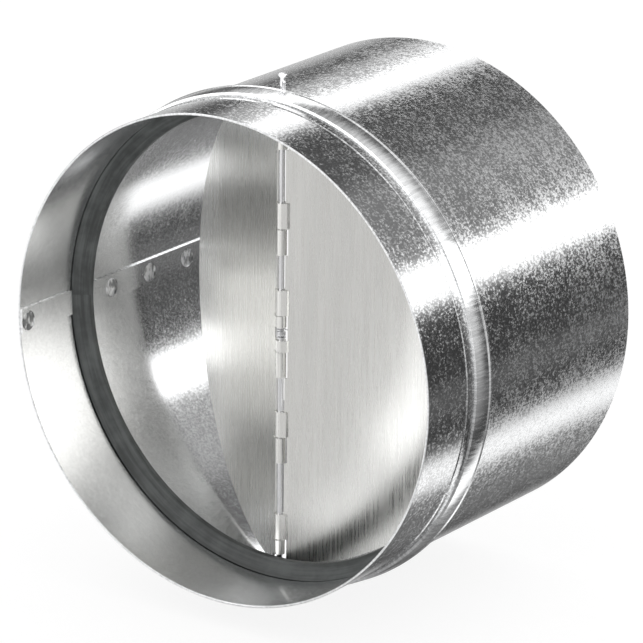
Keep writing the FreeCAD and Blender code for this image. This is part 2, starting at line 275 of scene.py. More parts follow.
class DamperSizes(bpy.types.PropertyGroup):
    """Sizes that belong to the sheet and to what is fitted in it."""

    sheet: FloatProperty(
        name="Sheet", description="Thickness of the galvanised sheet", default=0.6 * MM, unit="LENGTH"
    )
    blade_thickness: FloatProperty(
        name="Blade", description="Thickness of the aluminium blades", default=0.5 * MM, unit="LENGTH"
    )
    spindle_diameter: FloatProperty(
        name="Spindle", description="Diameter of the spindle", default=1.5 * MM, unit="LENGTH"
    )
    wire_diameter: FloatProperty(
        name="Spring wire", description="Diameter of the spring's wire", default=0.35 * MM, unit="LENGTH"
    )


class DamperFinishes(bpy.types.PropertyGroup):
    """Colours of the finishes."""

    zinc: FloatVectorProperty(
        name="Zinc", description="Reflection of the galvanised sheet", default=(0.74, 0.745, 0.75),
        subtype="COLOR", min=0, max=1,
    )
    aluminium: FloatVectorProperty(
        name="Aluminium", description="Reflection of the brushed blades", default=(0.84, 0.835, 0.81),
        subtype="COLOR", min=0, max=1,
    )
    rubber: FloatVectorProperty(
        name="Rubber", description="Colour of the seal ring", default=(0.065, 0.07, 0.069),
        subtype="COLOR", min=0, max=1,
    )
    steel: FloatVectorProperty(
        name="Steel", description="Reflection of the spindle and the spring", default=(0.76, 0.76, 0.77),
        subtype="COLOR", min=0, max=1,
    )


def deselect_all():
    """Object mode with nothing selected."""
    if bpy.context.object and bpy.context.object.mode != "OBJECT":
        bpy.ops.object.mode_set(mode="OBJECT")
    bpy.ops.object.select_all(action="DESELECT")


def select_only(piece):
    """Object mode with just this piece selected and active."""
    deselect_all()
    piece.select_set(True)
    bpy.context.view_layer.objects.active = piece


def apply_place(piece):
    """Moves the object's place, turn and scale into its mesh."""
    select_only(piece)
    bpy.ops.object.transform_apply(location=True, rotation=True, scale=True)


def select_faces(piece, wanted):
    """In edit mode, selects just the faces whose centre and normal pass the test."""
    bpy.ops.mesh.select_mode(type="FACE")
    bpy.ops.mesh.select_all(action="DESELECT")
    mesh = bmesh.from_edit_mesh(piece.data)
    found = [face for face in mesh.faces if wanted(face.calc_center_median(), face.normal)]
    for face in found:
        face.select_set(True)
    bmesh.update_edit_mesh(piece.data)
    if not found:
        raise RuntimeError(piece.name + ": no face to select")


def dress_faces(piece, material, wanted):
    """In edit mode, gives the faces that pass the test a material of their own."""
    piece.data.materials.append(material)
    select_faces(piece, wanted)
    piece.active_material_index = len(piece.data.materials) - 1
    bpy.ops.object.material_slot_assign()


def merge_doubles():
    """In edit mode, selects everything and merges points that lie on each other."""
    bpy.ops.mesh.select_all(action="SELECT")
    bpy.ops.mesh.remove_doubles(threshold=MERGE_DISTANCE)


def close_shell():
    """In edit mode, merges doubles and turns every face outwards."""
    merge_doubles()
    bpy.ops.mesh.normals_make_consistent(inside=False)


def draw_outline(name, points):
    """Draws an open outline by extruding one vertex from point to point, and stays in edit mode."""
    deselect_all()
    bpy.ops.mesh.primitive_plane_add(size=MM, location=points[0])
    piece = bpy.context.object
    piece.name = name
    apply_place(piece)
    bpy.ops.object.mode_set(mode="EDIT")
    bpy.ops.mesh.select_mode(type="VERT")
    bpy.ops.mesh.select_all(action="SELECT")
    bpy.ops.mesh.merge(type="CENTER")
    for last, point in zip(points, points[1:]):
        step = Vector(point) - Vector(last)
        bpy.ops.mesh.extrude_vertices_move(TRANSFORM_OT_translate={"value": step})
    return piece


def smooth(piece, angle=SMOOTH_ANGLE):
    """Smooth shading that keeps broad faces flat, with edges sharper than the angle left crisp."""
    select_only(piece)
    bpy.ops.object.shade_smooth_by_angle(angle=math.radians(angle))
    weighted = piece.modifiers.new("broad faces", "WEIGHTED_NORMAL")
    weighted.keep_sharp = True
    bpy.ops.object.modifier_apply(modifier=weighted.name)


def bevel_edges(piece, width):
    """Rounds every sharp edge."""
    select_only(piece)
    bevel = piece.modifiers.new("edges", "BEVEL")
    bevel.width = width
    bevel.segments = EDGE_STEPS
    bevel.limit_method = "ANGLE"
    bevel.angle_limit = math.radians(EDGE_ANGLE)
    bpy.ops.object.modifier_apply(modifier=bevel.name)


def combine(piece, part, operation, materials="INDEX"):
    """Joins a part to the piece, or cuts its shape out of it, and removes the part."""
    select_only(piece)
    tool = piece.modifiers.new("combine", "BOOLEAN")
    tool.operation = operation
    tool.solver = "EXACT"
    tool.material_mode = materials
    tool.object = part
    bpy.ops.object.modifier_apply(modifier=tool.name)
    bpy.data.objects.remove(part)


def plate(name, outline, depth):
    """A closed outline filled and pulled out by depth, as a finished mesh in object mode."""
    piece = draw_outline(name, list(outline) + [outline[0]])
    merge_doubles()
    bpy.ops.mesh.select_all(action="SELECT")
    bpy.ops.mesh.edge_face_add()
    bpy.ops.mesh.extrude_region_move(TRANSFORM_OT_translate={"value": depth})
    close_shell()
    bpy.ops.object.mode_set(mode="OBJECT")
    return piece


def wire_piece(name, points, diameter):
    """Round wire along a path of points, with flat ends."""
    draw_outline(name, points)
    bpy.ops.object.mode_set(mode="OBJECT")
    bpy.ops.object.convert(target="CURVE")
    path = bpy.context.object.data
    path.bevel_depth = diameter / 2
    path.bevel_resolution = WIRE_ROUNDNESS
    path.use_fill_caps = True
    bpy.ops.object.convert(target="MESH")
    wire = bpy.context.object
    bpy.ops.object.mode_set(mode="EDIT")
    close_shell()
    bpy.ops.object.mode_set(mode="OBJECT")
    return wire


def set_on_spindle(piece, side):
    """Turns a piece made for the shut right blade to its rest place; side is 1 on the right, -1 on the left."""
    if side < 0:
        piece.matrix_world = Matrix.Rotation(math.pi, 4, Y_AXIS) @ piece.matrix_world
    turn = Matrix.Rotation(side * REST_ANGLE, 4, Z_AXIS)
    piece.matrix_world = Matrix.Translation(Y_AXIS * SPINDLE_SETBACK) @ turn @ piece.matrix_world
    apply_place(piece)


def finish_piece(piece, body, slot, material, *nodes):
    """Gives a finished piece its material, body and the nodes it stands for; the slot is not used."""
    if material.name not in piece.data.materials:
        piece.data.materials.append(material)
    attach(piece, body)
    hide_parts(*nodes)
    deselect_all()


def rounded(corners, radii, steps):
    """Points of an outline whose inner corners are rounded, each by its radius, in arcs of a few steps."""
    points = [Vector(corners[0])]
    for before, corner, after, radius in zip(corners, corners[1:], corners[2:], radii):
        corner = Vector(corner)
        if not radius:
            points.append(corner)
            continue
        to_before = (Vector(before) - corner).normalized()
        to_after = (Vector(after) - corner).normalized()
        half = to_before.angle(to_after) / 2
        centre = corner + (to_before + to_after).normalized() * radius / math.sin(half)
        start = corner + to_before * radius / math.tan(half) - centre
        end = corner + to_after * radius / math.tan(half) - centre
        sweep = start.angle_signed(end)
        for step in range(steps + 1):
            points.append(centre + Matrix.Rotation(-sweep * step / steps, 2) @ start)
    points.append(Vector(corners[-1]))
    return points


def curve_through(start, middle, end, steps):
    """Points of the parabola through three points given as (radius, setback)."""
    points = []
    reach = (middle[1] - start[1]) / (end[1] - start[1])
    bow = (middle[0] - start[0] - reach * (end[0] - start[0])) / (reach * (1 - reach))
    for step in range(steps + 1):
        along = step / steps
        radius = start[0] + along * (end[0] - start[0]) + bow * along * (1 - along)
        points.append((radius, start[1] + along * (end[1] - start[1])))
    return points


def sheet_outside():
    """Lengthways outline (radius, setback) of the outside of the sheet."""
    start = (TUBE_RADIUS + STEP_TOP, STEP_SETBACK + STEP_RUN)
    middle = (TUBE_RADIUS + CREST_MIDDLE, CREST_MIDDLE_SETBACK)
    end = (TUBE_RADIUS + CREST_END, CREST_END_SETBACK)
    flank_slope = STEP_FOOT / (STEP_SETBACK - BEAD_START)
    corners = [
        (TUBE_RADIUS, RIM_ROUND),
        (TUBE_RADIUS, BEAD_START - CREASE_WIDTH / 2),
        (TUBE_RADIUS + CREASE_HEIGHT, BEAD_START),
        (TUBE_RADIUS + flank_slope * CREASE_WIDTH, BEAD_START + CREASE_WIDTH),
        (TUBE_RADIUS + STEP_FOOT, STEP_SETBACK),
        *curve_through(start, middle, end, CREST_STEPS),
        (TUBE_RADIUS + DIP, DIP_SETBACK),
        (BEAD_RADIUS, RIM_SETBACK),
        (BEAD_RADIUS, REAR_EDGE_SETBACK),
        (TUBE_RADIUS, BEAD_END),
        (TUBE_RADIUS, TUBE_LENGTH - RIM_ROUND),
    ]
    last_radii = [REAR_EDGE_ROUND, REAR_EDGE_ROUND, BEAD_FOOT_ROUND]
    crisp = len(corners) - 2 - len(last_radii)
    return rounded(corners, [0] * crisp + last_radii, BEND_STEPS)


def sheet_inside(sheet):
    """Lengthways outline (radius, setback) of the bore, with the bead's hollow."""
    bore = TUBE_RADIUS - sheet
    corners = [
        (bore, RIM_ROUND),
        (bore, HOLLOW_START),
        (bore + CREST_MIDDLE - sheet / 4, CREST_MIDDLE_SETBACK),
        (bore + CREST_END, REAR_EDGE_SETBACK - sheet / 2),
        (bore, BEAD_END - sheet / 2),
        (bore, TUBE_LENGTH - RIM_ROUND),
    ]
    return rounded(corners, [BEAD_FOOT_ROUND] + 2 * [BEAD_INNER_ROUND] + [BEAD_FOOT_ROUND], BEND_STEPS)


def lap_angle(height):
    """Angle about the tube's axis, from +X towards +Z, of a line on the left wall at this height."""
    return math.pi - math.asin(height / TUBE_RADIUS)


def round_place(radius, setback, angle):
    """A point of the tube, by its distance from the axis, its setback and its angle."""
    return Vector((radius * math.cos(angle), setback, radius * math.sin(angle)))


def weld_setbacks():
    """Setbacks of the spot welds along the lap: one on the collar and a row behind the bead."""
    setbacks = [WELD_FIRST]
    setback = WELD_SECOND
    while setback + WELD_DIAMETER / 2 < TUBE_LENGTH:
        setbacks.append(setback)
        setback += WELD_PITCH
    return setbacks


class Tree:
    """The nodes of a material or of the world, with short ways to add and join them."""

    def __init__(self, owner):
        owner.use_nodes = True
        self.nodes = owner.node_tree.nodes
        self.links = owner.node_tree.links

    def put(self, value, socket):
        """Sets a socket to a constant, or joins another node's output to it."""
        if isinstance(value, bpy.types.NodeSocket):
            self.links.new(value, socket)
        else:
            socket.default_value = value

    def add(self, kind, inputs=None, **settings):
        """A node with its settings and what goes into its sockets."""
        node = self.nodes.new("ShaderNode" + kind)
        for setting, value in settings.items():
            setattr(node, setting, value)
        for socket, value in (inputs or {}).items():
            self.put(value, node.inputs[socket])
        return node

    def math(self, operation, *values):
        """Output of a Math node."""
        return self.add("Math", dict(enumerate(values)), operation=operation).outputs[0]

    def blend(self, first, share, second):
        """A share of one value and the rest of another."""
        return self.math("MULTIPLY_ADD", first, share, self.math("MULTIPLY", second, 1 - share))

    def ramp(self, value, low, high, to_low=0.0, to_high=1.0):
        """Maps a value's range to another, with soft ends."""
        inputs = {"Value": value, "From Min": low, "From Max": high, "To Min": to_low, "To Max": to_high}
        return self.add("MapRange", inputs, interpolation_type="SMOOTHSTEP").outputs["Result"]

    def noise(self, place, pattern):
        """Noise over a place, drawn out where the pattern's stretch is small."""
        scale, detail, roughness, stretch = pattern
        mapping = self.add("Mapping", {"Scale": stretch, "Vector": place})
        inputs = {"Scale": scale, "Detail": detail, "Roughness": roughness, "Vector": mapping.outputs["Vector"]}
        return self.add("TexNoise", inputs).outputs["Fac"]

    def object_place(self):
        """Place in the object's own axes, in metres."""
        return self.add("TexCoord").outputs["Object"]

    def unrolled(self):
        """Place unrolled from the tube: arc length, setback and distance from the axis, in metres."""
        x, y, z = self.add("SeparateXYZ", {0: self.object_place()}).outputs
        arc = self.math("MULTIPLY", self.math("ARCTAN2", z, x), TUBE_RADIUS)
        squares = self.math("ADD", self.math("MULTIPLY", x, x), self.math("MULTIPLY", z, z))
        return self.add("CombineXYZ", {0: arc, 1: y, 2: self.math("SQRT", squares)}).outputs[0]


class Finish(Tree):
    """A material with its shader, and the parts that the finishes share."""

    def __init__(self, name, metallic=1.0):
        self.material = bpy.data.materials.new(name)
        super().__init__(self.material)
        self.shader = self.nodes["Principled BSDF"]
        self.put(metallic, self.shader.inputs["Metallic"])

    def colour(self, colour, darkest, lightest, tone, low, high):
        """Colour that goes from a darker to a lighter share of itself as the tone goes from low to high."""
        dark, light = ([min(1.0, channel * share) for channel in colour] for share in (darkest, lightest))
        inputs = {"A": (*dark, 1), "B": (*light, 1), "Factor": self.ramp(tone, low, high)}
        mix = self.add("Mix", inputs, data_type="RGBA")
        self.put(mix.outputs["Result"], self.shader.inputs["Base Color"])

    def roughness(self, first, last, tone, low=0.3, high=0.7):
        """Roughness that goes from first to last as the tone goes from low to high."""
        self.put(self.ramp(tone, low, high, first, last), self.shader.inputs["Roughness"])

    def relief(self, height, strength, depth):
        """Fine relief of the surface."""
        bump = self.add("Bump", {"Strength": strength, "Distance": depth, "Height": height})
        self.put(bump.outputs["Normal"], self.shader.inputs["Normal"])


def galvanised_material(finishes, name, strength, darkest):
    """Galvanised sheet: fine flecks and streaks over soft clouds, lighter towards the outlet."""
    sheet = Finish(name)
    place = sheet.unrolled()
    flecks = sheet.blend(sheet.noise(place, FINE_FLECKS), FLECK_SHARE, sheet.noise(place, STREAKS))
    clouds = sheet.noise(place, SHEET_CLOUDS)
    setback = sheet.math("SUBTRACT", sheet.add("SeparateXYZ", {0: place}).outputs["Y"], TUBE_LENGTH / 2)
    drift = sheet.math("MULTIPLY_ADD", clouds, CLOUD_SHARE, setback)
    apart = sheet.math("SUBTRACT", sheet.math("ADD", flecks, drift), MIDDLE_TONE * (1 + CLOUD_SHARE))
    tone = sheet.math("MULTIPLY_ADD", apart, strength, MIDDLE_TONE)
    # A darkest share above 1, as the bore's, lifts the whole sheet lighter: painted light in its colour
    sheet.colour(finishes.zinc, darkest, 1.3, tone, low=0.4, high=0.6)
    sheet.roughness(0.16, 0.33, tone, low=0.4, high=0.72)
    sheet.relief(flecks, strength, GRAIN_DEPTH)
    return sheet.material


def rolled_material(finishes):
    """Crest of the bead, burnished by the rolls, with faint marks across it."""
    crest = Finish("rolled_bead")
    place = crest.unrolled()
    marks = crest.noise(place, ROLL_MARKS)
    tone = crest.blend(marks, MARK_SHARE, crest.noise(place, ROLL_CLOUDS))
    crest.colour(finishes.zinc, 0.92, 1.3, tone, low=0.38, high=0.62)
    crest.roughness(0.16, 0.24, marks)
    crest.relief(marks, 0.5, MARK_DEPTH)
    return crest.material


def weld_material(finishes):
    """Spot-weld mark: squeezed, crinkled metal with dull and bright patches."""
    mark = Finish("weld_mark")
    patches = mark.noise(mark.unrolled(), WELD_PATCHES)
    mark.colour(finishes.zinc, 0.4, 1.2, patches, low=0.42, high=0.6)
    mark.roughness(0.5, 0.3, patches)
    mark.relief(patches, 1.0, WELD_CRINKLE)
    return mark.material


def edge_material(finishes):
    """Sheared edge of the sheet: bright, with fine drag marks across it."""
    edge = Finish("sheared_edge")
    drag = edge.noise(edge.unrolled(), EDGE_DRAG)
    edge.colour(finishes.zinc, 1.05, 1.3, drag, low=0.35, high=0.6)
    edge.roughness(0.3, 0.42, drag)
    edge.relief(drag, 0.2, MARK_DEPTH)
    return edge.material


def rubber_material(finishes):
    """Moulded rubber: dark grey-green, with faint drag marks round the ring."""
    rubber = Finish("seal_rubber", metallic=0.0)
    place = rubber.unrolled()
    drag = rubber.noise(place, RUBBER_DRAG)
    tone = rubber.blend(drag, MARK_SHARE, rubber.noise(place, RUBBER_DUST))
    rubber.colour(finishes.rubber, 0.6, 1.7, tone, low=0.38, high=0.66)
    rubber.roughness(0.38, 0.52, drag)
    rubber.relief(drag, 0.5, RUBBER_DEPTH)
    return rubber.material


def brushed_material(name, colour, roughness, pattern=METAL_GRAIN):
    """Satin metal, its grain along Z unless the pattern says otherwise."""
    satin = Finish(name)
    place = satin.object_place()
    grain = satin.noise(place, pattern)
    tone = satin.blend(grain, MARK_SHARE, satin.noise(place, METAL_BANDS))
    satin.colour(colour, 0.93, 1.04, tone, low=0.35, high=0.65)
    satin.roughness(roughness - GRAIN_BELOW, roughness + GRAIN_ABOVE, grain)
    satin.relief(grain, 0.15, GRAIN_DEPTH)
    return satin.material


class DAMPER_OT_housing(bpy.types.Operator):
    """Models the beaded sheet tube with its lap joint and spot welds"""

    bl_idname = "damper.housing"
    bl_label = "Housing"

    def execute(self, context):
        sizes = context.scene.damper_sizes
        finishes = context.scene.damper_finishes
        inner_rim = TUBE_RADIUS - sizes.sheet + RIM_ROUND
        outer_rim = TUBE_RADIUS - RIM_ROUND
        section = sheet_outside() + [(outer_rim, TUBE_LENGTH), (inner_rim, TUBE_LENGTH)]
        section += sheet_inside(sizes.sheet)[::-1] + [(inner_rim, 0), (outer_rim, 0)]
        section += section[:1]
        start = lap_angle(LAP_TOP)
        lap = lap_angle(LAP_TOP - LAP_WIDTH) - start
        points = [round_place(radius, setback, start) for radius, setback in section]
        housing = draw_outline("housing_sheet", points)
        merge_doubles()
        bpy.ops.mesh.spin(steps=LAP_STEPS, angle=-lap, center=ORIGIN, axis=Y_AXIS)
        bpy.ops.mesh.spin(steps=TUBE_STEPS, angle=lap - 2 * math.pi, center=ORIGIN, axis=Y_AXIS)
        close_shell()

        def in_lap(centre, normal):
            """Faces of the bore within the lap, without the rims."""
            angle = math.atan2(centre.z, centre.x) % (2 * math.pi)
            radial = Vector((centre.x, 0, centre.z))
            inwards = normal.dot(radial) < -LAP_FACING * radial.length
            return start < angle < start + lap and inwards and self.off_rims(centre)

        select_faces(housing, in_lap)
        bpy.ops.mesh.extrude_region_shrink_fatten(TRANSFORM_OT_shrink_fatten={"value": sizes.sheet})
        close_shell()
        outside = galvanised_material(finishes, "galvanised_sheet", OUTSIDE_FLECKS, OUTSIDE_DARKEST)
        # The bore is a lighter copy of the outside sheet: painted light
        bore = galvanised_material(finishes, "galvanised_bore_painted_light", BORE_FLECKS, BORE_DARKEST_PAINTED_LIGHT)
        housing.data.materials.append(outside)
        dress_faces(housing, edge_material(finishes), lambda centre, normal: not self.off_rims(centre))
        dress_faces(housing, rolled_material(finishes), self.on_crest)
        dress_faces(housing, bore, self.in_bore)
        bpy.ops.object.mode_set(mode="OBJECT")
        self.press_welds(housing, sizes.sheet, start + lap / 2, weld_material(finishes))
        smooth(housing)
        finish_piece(housing, "tube", "galvanised_sheet", outside, "housing")
        return {"FINISHED"}

    def off_rims(self, centre):
        """Whether a face lies between the two rims."""
        return RIM_ROUND < centre.y < TUBE_LENGTH - RIM_ROUND

    def in_bore(self, centre, normal):
        """Faces of the bore, without the rims."""
        return normal.dot(Vector((centre.x, 0, centre.z))) < 0 and self.off_rims(centre)

    def on_crest(self, centre, normal):
        """Faces of the outside from the bead's step to its rear foot."""
        outwards = normal.dot(Vector((centre.x, 0, centre.z))) > 0
        return outwards and STEP_SETBACK < centre.y < BEAD_END

    def press_welds(self, housing, sheet, angle, material):
        """Presses a round mark into both faces of the lap at each spot weld."""
        for setback in weld_setbacks():
            for radius, heading in ((TUBE_RADIUS - 2 * sheet, -1), (TUBE_RADIUS, 1)):
                deselect_all()
                bpy.ops.mesh.primitive_cylinder_add(
                    vertices=ROD_STEPS, radius=WELD_DIAMETER / 2, depth=2 * WELD_DEPTH
                )
                mark = bpy.context.object
                turn = Z_AXIS.rotation_difference(round_place(heading, 0, angle)).to_matrix().to_4x4()
                mark.matrix_world = Matrix.Translation(round_place(radius, setback, angle)) @ turn
                apply_place(mark)
                mark.data.materials.append(material)
                combine(housing, mark, "DIFFERENCE", "TRANSFER")


class DAMPER_OT_seal(bpy.types.Operator):
    """Models the rubber ring in the bead's hollow"""

    bl_idname = "damper.seal"
    bl_label = "Seal ring"

    def execute(self, context):
        bore = TUBE_RADIUS - context.scene.damper_sizes.sheet
        corners = [
            (bore + SEAL_BASE_HEIGHT, SEAL_FRONT + SEAL_BASE_SETBACK / 3),
            (bore, SEAL_FRONT),
            (bore - SEAL_LIP_REACH, SEAL_FRONT + SEAL_LIP_SETBACK),
            (bore - SEAL_LIP_REACH, SEAL_BACK),
            (bore - SEAL_EDGE, SEAL_BACK),
            (bore + SEAL_BASE_HEIGHT, SEAL_BACK - SEAL_BASE_SETBACK),
        ]
        section = rounded(corners, [SEAL_EDGE, SEAL_LIP_ROUND, SEAL_EDGE, SEAL_EDGE], BEND_STEPS)
        section += section[:1]
        points = [round_place(radius, setback, 0) for radius, setback in section]
        ring = draw_outline("seal_ring_rubber", points)
        merge_doubles()
        bpy.ops.mesh.spin(steps=TUBE_STEPS, angle=2 * math.pi, center=ORIGIN, axis=Y_AXIS)
        close_shell()
        smooth(ring, SEAL_SMOOTH_ANGLE)
        rubber = rubber_material(context.scene.damper_finishes)
        finish_piece(ring, "tube", "seal_rubber", rubber, "seal_ring")
        return {"FINISHED"}


class DAMPER_OT_spindle(bpy.types.Operator):
    """Models the rod across the tube with its fishtail ends"""

    bl_idname = "damper.spindle"
    bl_label = "Spindle"

    def execute(self, context):
        radius = context.scene.damper_sizes.spindle_diameter / 2
        straight = SPINDLE_TOP - STAKE_LENGTH
        bpy.ops.mesh.primitive_cylinder_add(vertices=ROD_STEPS, radius=radius, depth=2 * straight)
        rod = bpy.context.object
        rod.name = "spindle_rod"
        for side in (1, -1):
            end = self.pressed_end(radius, straight)
            if side < 0:
                end.matrix_world = Matrix.Rotation(math.pi, 4, Y_AXIS)
                apply_place(end)
            combine(rod, end, "UNION")
        rod.matrix_world = Matrix.Translation(Y_AXIS * SPINDLE_SETBACK)
        apply_place(rod)
        smooth(rod)
        steel = brushed_material("drawn_steel", context.scene.damper_finishes.steel, ROD_ROUGHNESS)
        finish_piece(rod, "tube", "spindle_steel", steel, "spindle")
        return {"FINISHED"}

    def pressed_end(self, radius, straight):
        """Upper end of the rod, from where it stops being straight: a cone and a flat fishtail."""
        half_neck = STAKE_THICKNESS / 2
        half_tip = STAKE_WIDTH / 2
        taper = half_tip - half_neck
        bpy.ops.mesh.primitive_cone_add(
            vertices=ROD_STEPS, radius1=radius, radius2=half_neck, depth=taper,
            location=(0, 0, straight + taper / 2),
        )
        neck = bpy.context.object
        apply_place(neck)
        corners = [
            (-half_neck, straight - half_tip),
            (half_neck, straight - half_tip),
            (half_neck, straight + STAKE_NECK),
            (half_tip, SPINDLE_TOP - STAKE_THICKNESS),
            (half_tip - STAKE_CORNER, SPINDLE_TOP - STAKE_CORNER),
            (0, SPINDLE_TOP),
            (STAKE_CORNER - half_tip, SPINDLE_TOP - STAKE_CORNER),
            (-half_tip, SPINDLE_TOP - STAKE_THICKNESS),
            (-half_neck, straight + STAKE_NECK),
        ]
        tail = plate("fishtail", [(x, -half_neck, z) for x, z in corners], Y_AXIS * STAKE_THICKNESS)
        bevel_edges(tail, STAKE_EDGE)
        combine(neck, tail, "UNION")
        return neck


class DAMPER_OT_blades(bpy.types.Operator):
    """Models the two half-disc blades with their knuckles"""

    bl_idname = "damper.blades"
    bl_label = "Blades"

    def execute(self, context):
        satin = brushed_material("satin_aluminium", context.scene.damper_finishes.aluminium, SATIN_ROUGHNESS)
        for side, name, body, node in (
            (1, "blade_right", "right_flap", "right_blade"),
            (-1, "blade_left", "left_flap", "left_blade"),
        ):
            blade = self.shut_blade(name, context.scene.damper_sizes, side * KNUCKLE_MIDDLE)
            set_on_spindle(blade, side)
            smooth(blade)
            finish_piece(blade, body, "blade_aluminium", satin, node)
        return {"FINISHED"}

    def knuckle_spans(self, middle):
        """Lowest and highest point of each knuckle of the right blade, for a pattern with this middle."""
        start = MIDDLE_GAP + SHORT_KNUCKLE_LENGTH
        spans = [(start, start + KNUCKLE_LENGTH), (KNUCKLE_SIDE_GAP - start, -MIDDLE_GAP)]
        half_groups = KNUCKLE_GROUPS // 2
        for group in range(-half_groups, half_groups + 1):
            if group:
                low = group * KNUCKLE_PITCH + KNUCKLE_SIDE_GAP
                spans.append((low, low + KNUCKLE_LENGTH))
        return sorted((middle + low, middle + high) for low, high in spans)

    def blade_outline(self, middle, radius, edge, window, root):
        """Flat outline (x, z) of a blade: a half disc whose straight edge is cut back for the knuckles."""
        start = MIDDLE_GAP + SHORT_KNUCKLE_LENGTH
        cuts = [(middle - start, middle + start, window)]
        for low, high in self.knuckle_spans(middle):
            cuts.append((low, high, root))
            cuts.append((2 * middle - high - KNUCKLE_SIDE_GAP, 2 * middle - low + KNUCKLE_SIDE_GAP, window))
        end = math.sqrt(radius ** 2 - edge ** 2)
        heights = sorted({height for low, high, _ in cuts for height in (low, high) if abs(height) < end})
        heights = [-end] + heights + [end]
        line = []
        for low, high in zip(heights, heights[1:]):
            height = (low + high) / 2
            depth = max([edge] + [x for bottom, top, x in cuts if bottom < height < top])
            line += [(depth, low), (depth, high)]
        corners = [line[0]]
        for before, point, after in zip(line, line[1:], line[2:]):
            if not before[0] == point[0] == after[0] and point != corners[-1]:
                corners.append(point)
        corners.append(line[-1])
        top = math.atan2(corners[-1][1], corners[-1][0])
        bottom = math.atan2(corners[0][1], corners[0][0])
        rim = []
        for step in range(1, BLADE_STEPS):
            angle = top + (bottom - top) * step / BLADE_STEPS
            rim.append((radius * math.cos(angle), radius * math.sin(angle)))
        if corners[0][0] > edge:
            corners[0] = (math.sqrt(radius ** 2 - corners[0][1] ** 2), corners[0][1])
        return corners + rim

    def curl_outline(self, inner, outer, root, front_offset, back_offset):
        """Cut (x, y) through a knuckle: the curl round the spindle and the stepped tab to the blade."""
        front = 1.5 * math.pi
        end = math.radians(KNUCKLE_END_ANGLE)
        faces = []
        for radius, offset in ((outer, front_offset), (inner, back_offset)):
            face = []
            for step in range(CURL_STEPS + 1):
                angle = end + (front - end) * step / CURL_STEPS
                face.append((radius * math.cos(angle), radius * math.sin(angle)))
            tab = [
                face[-1],
                (root - KNUCKLE_STEP_RUN, -radius),
                (root - KNUCKLE_STEP_RUN / 4, -offset),
                (root + KNUCKLE_STEP_RUN / 4, -offset),
            ]
            bends = rounded(tab, 2 * [KNUCKLE_BEND], KNUCKLE_BEND_STEPS)
            faces.append(face[:-1] + [tuple(point) for point in bends])
        return faces[0] + faces[1][::-1]

    def shut_blade(self, name, sizes, middle):
        """A blade as it stands when shut on the right, about the spindle's axis."""
        radius = TUBE_RADIUS - 2 * sizes.sheet - BLADE_RIM_CLEARANCE
        inner = sizes.spindle_diameter / 2 + KNUCKLE_CLEARANCE
        outer = inner + sizes.blade_thickness
        front_offset = outer - KNUCKLE_STEP
        root = outer + KNUCKLE_ROOT_RUN
        window = outer + KNUCKLE_RELIEF
        edge = sizes.spindle_diameter / 2 + BLADE_EDGE_GAP
        outline = self.blade_outline(middle, radius, edge, window, root)
        blade = plate(name, [(x, -front_offset, z) for x, z in outline], Y_AXIS * sizes.blade_thickness)
        curl = self.curl_outline(inner, outer, root, front_offset, front_offset - sizes.blade_thickness)
        rim = radius - SEAL_OVERLAP - KNUCKLE_SEAL_GAP
        for low, high in self.knuckle_spans(middle):
            bottom = max(low, -rim)
            height = min(high, rim) - bottom
            knuckle = plate("knuckle", [(x, y, bottom) for x, y in curl], Z_AXIS * height)
            combine(blade, knuckle, "UNION")
        select_only(blade)
        bpy.ops.object.mode_set(mode="EDIT")
        merge_doubles()
        bpy.ops.mesh.dissolve_limited(angle_limit=math.radians(FLAT_ANGLE))
        bpy.ops.mesh.normals_make_consistent(inside=False)
        bpy.ops.object.mode_set(mode="OBJECT")
        bevel_edges(blade, BLADE_EDGE_ROUND)
        return blade


